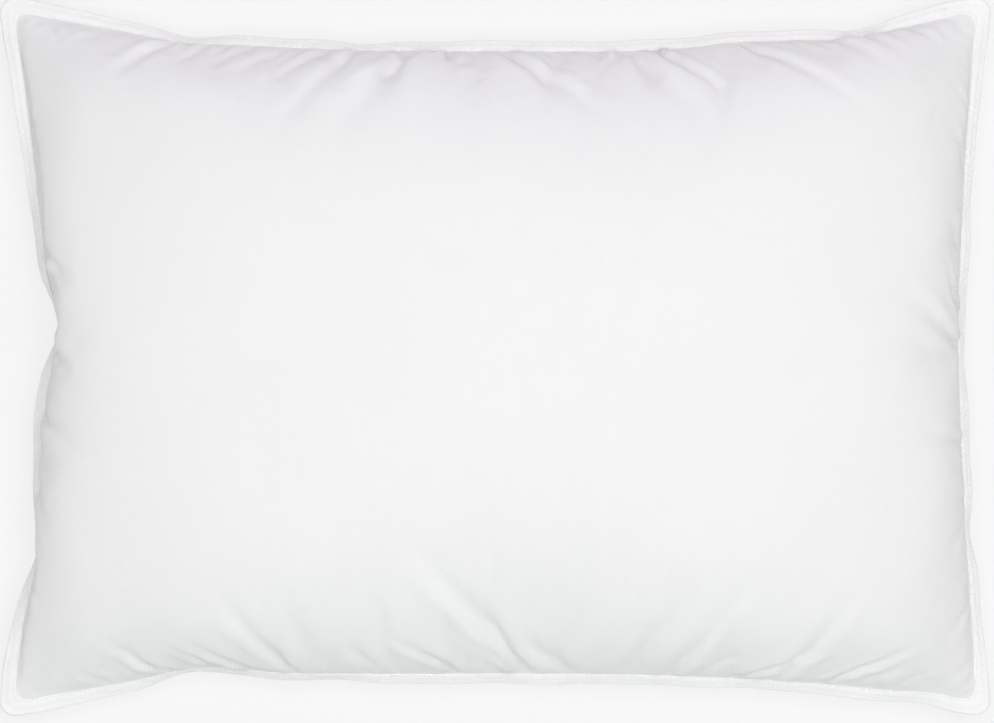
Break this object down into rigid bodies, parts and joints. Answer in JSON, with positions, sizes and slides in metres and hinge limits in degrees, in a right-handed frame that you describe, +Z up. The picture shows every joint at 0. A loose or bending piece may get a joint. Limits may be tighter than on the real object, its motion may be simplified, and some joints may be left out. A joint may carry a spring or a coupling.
{
  "type": "bed pillow",
  "caption": "Rectangular bed pillow lying flat: two cotton panels over a down filling, with a bound and corded flange round the seam.",
  "frame": {"origin": "middle of the pillow's footprint, on the surface that it lies on", "axes": "+X along the pillow's length, +Y across its width, +Z up out of the upper panel"},
  "size_m": [0.6723, 0.4841, 0.16],
  "materials": {
    "cotton_cover": "matte",
    "cotton_binding": "matte",
    "cord_cotton": "matte",
    "sewing_thread": "satin",
    "white_down": "matte"
  },
  "bodies": {
    "root": {"top_panel": "cotton_cover", "bottom_panel": "cotton_cover", "down_filling": "white_down", "edge_binding": "cotton_binding", "edge_cord": "cord_cotton", "seam_needle_thread": "sewing_thread", "seam_bobbin_thread": "sewing_thread", "edge_needle_thread": "sewing_thread", "edge_bobbin_thread": "sewing_thread", "opening_thread": "sewing_thread"}
  },
  "joints": []
}
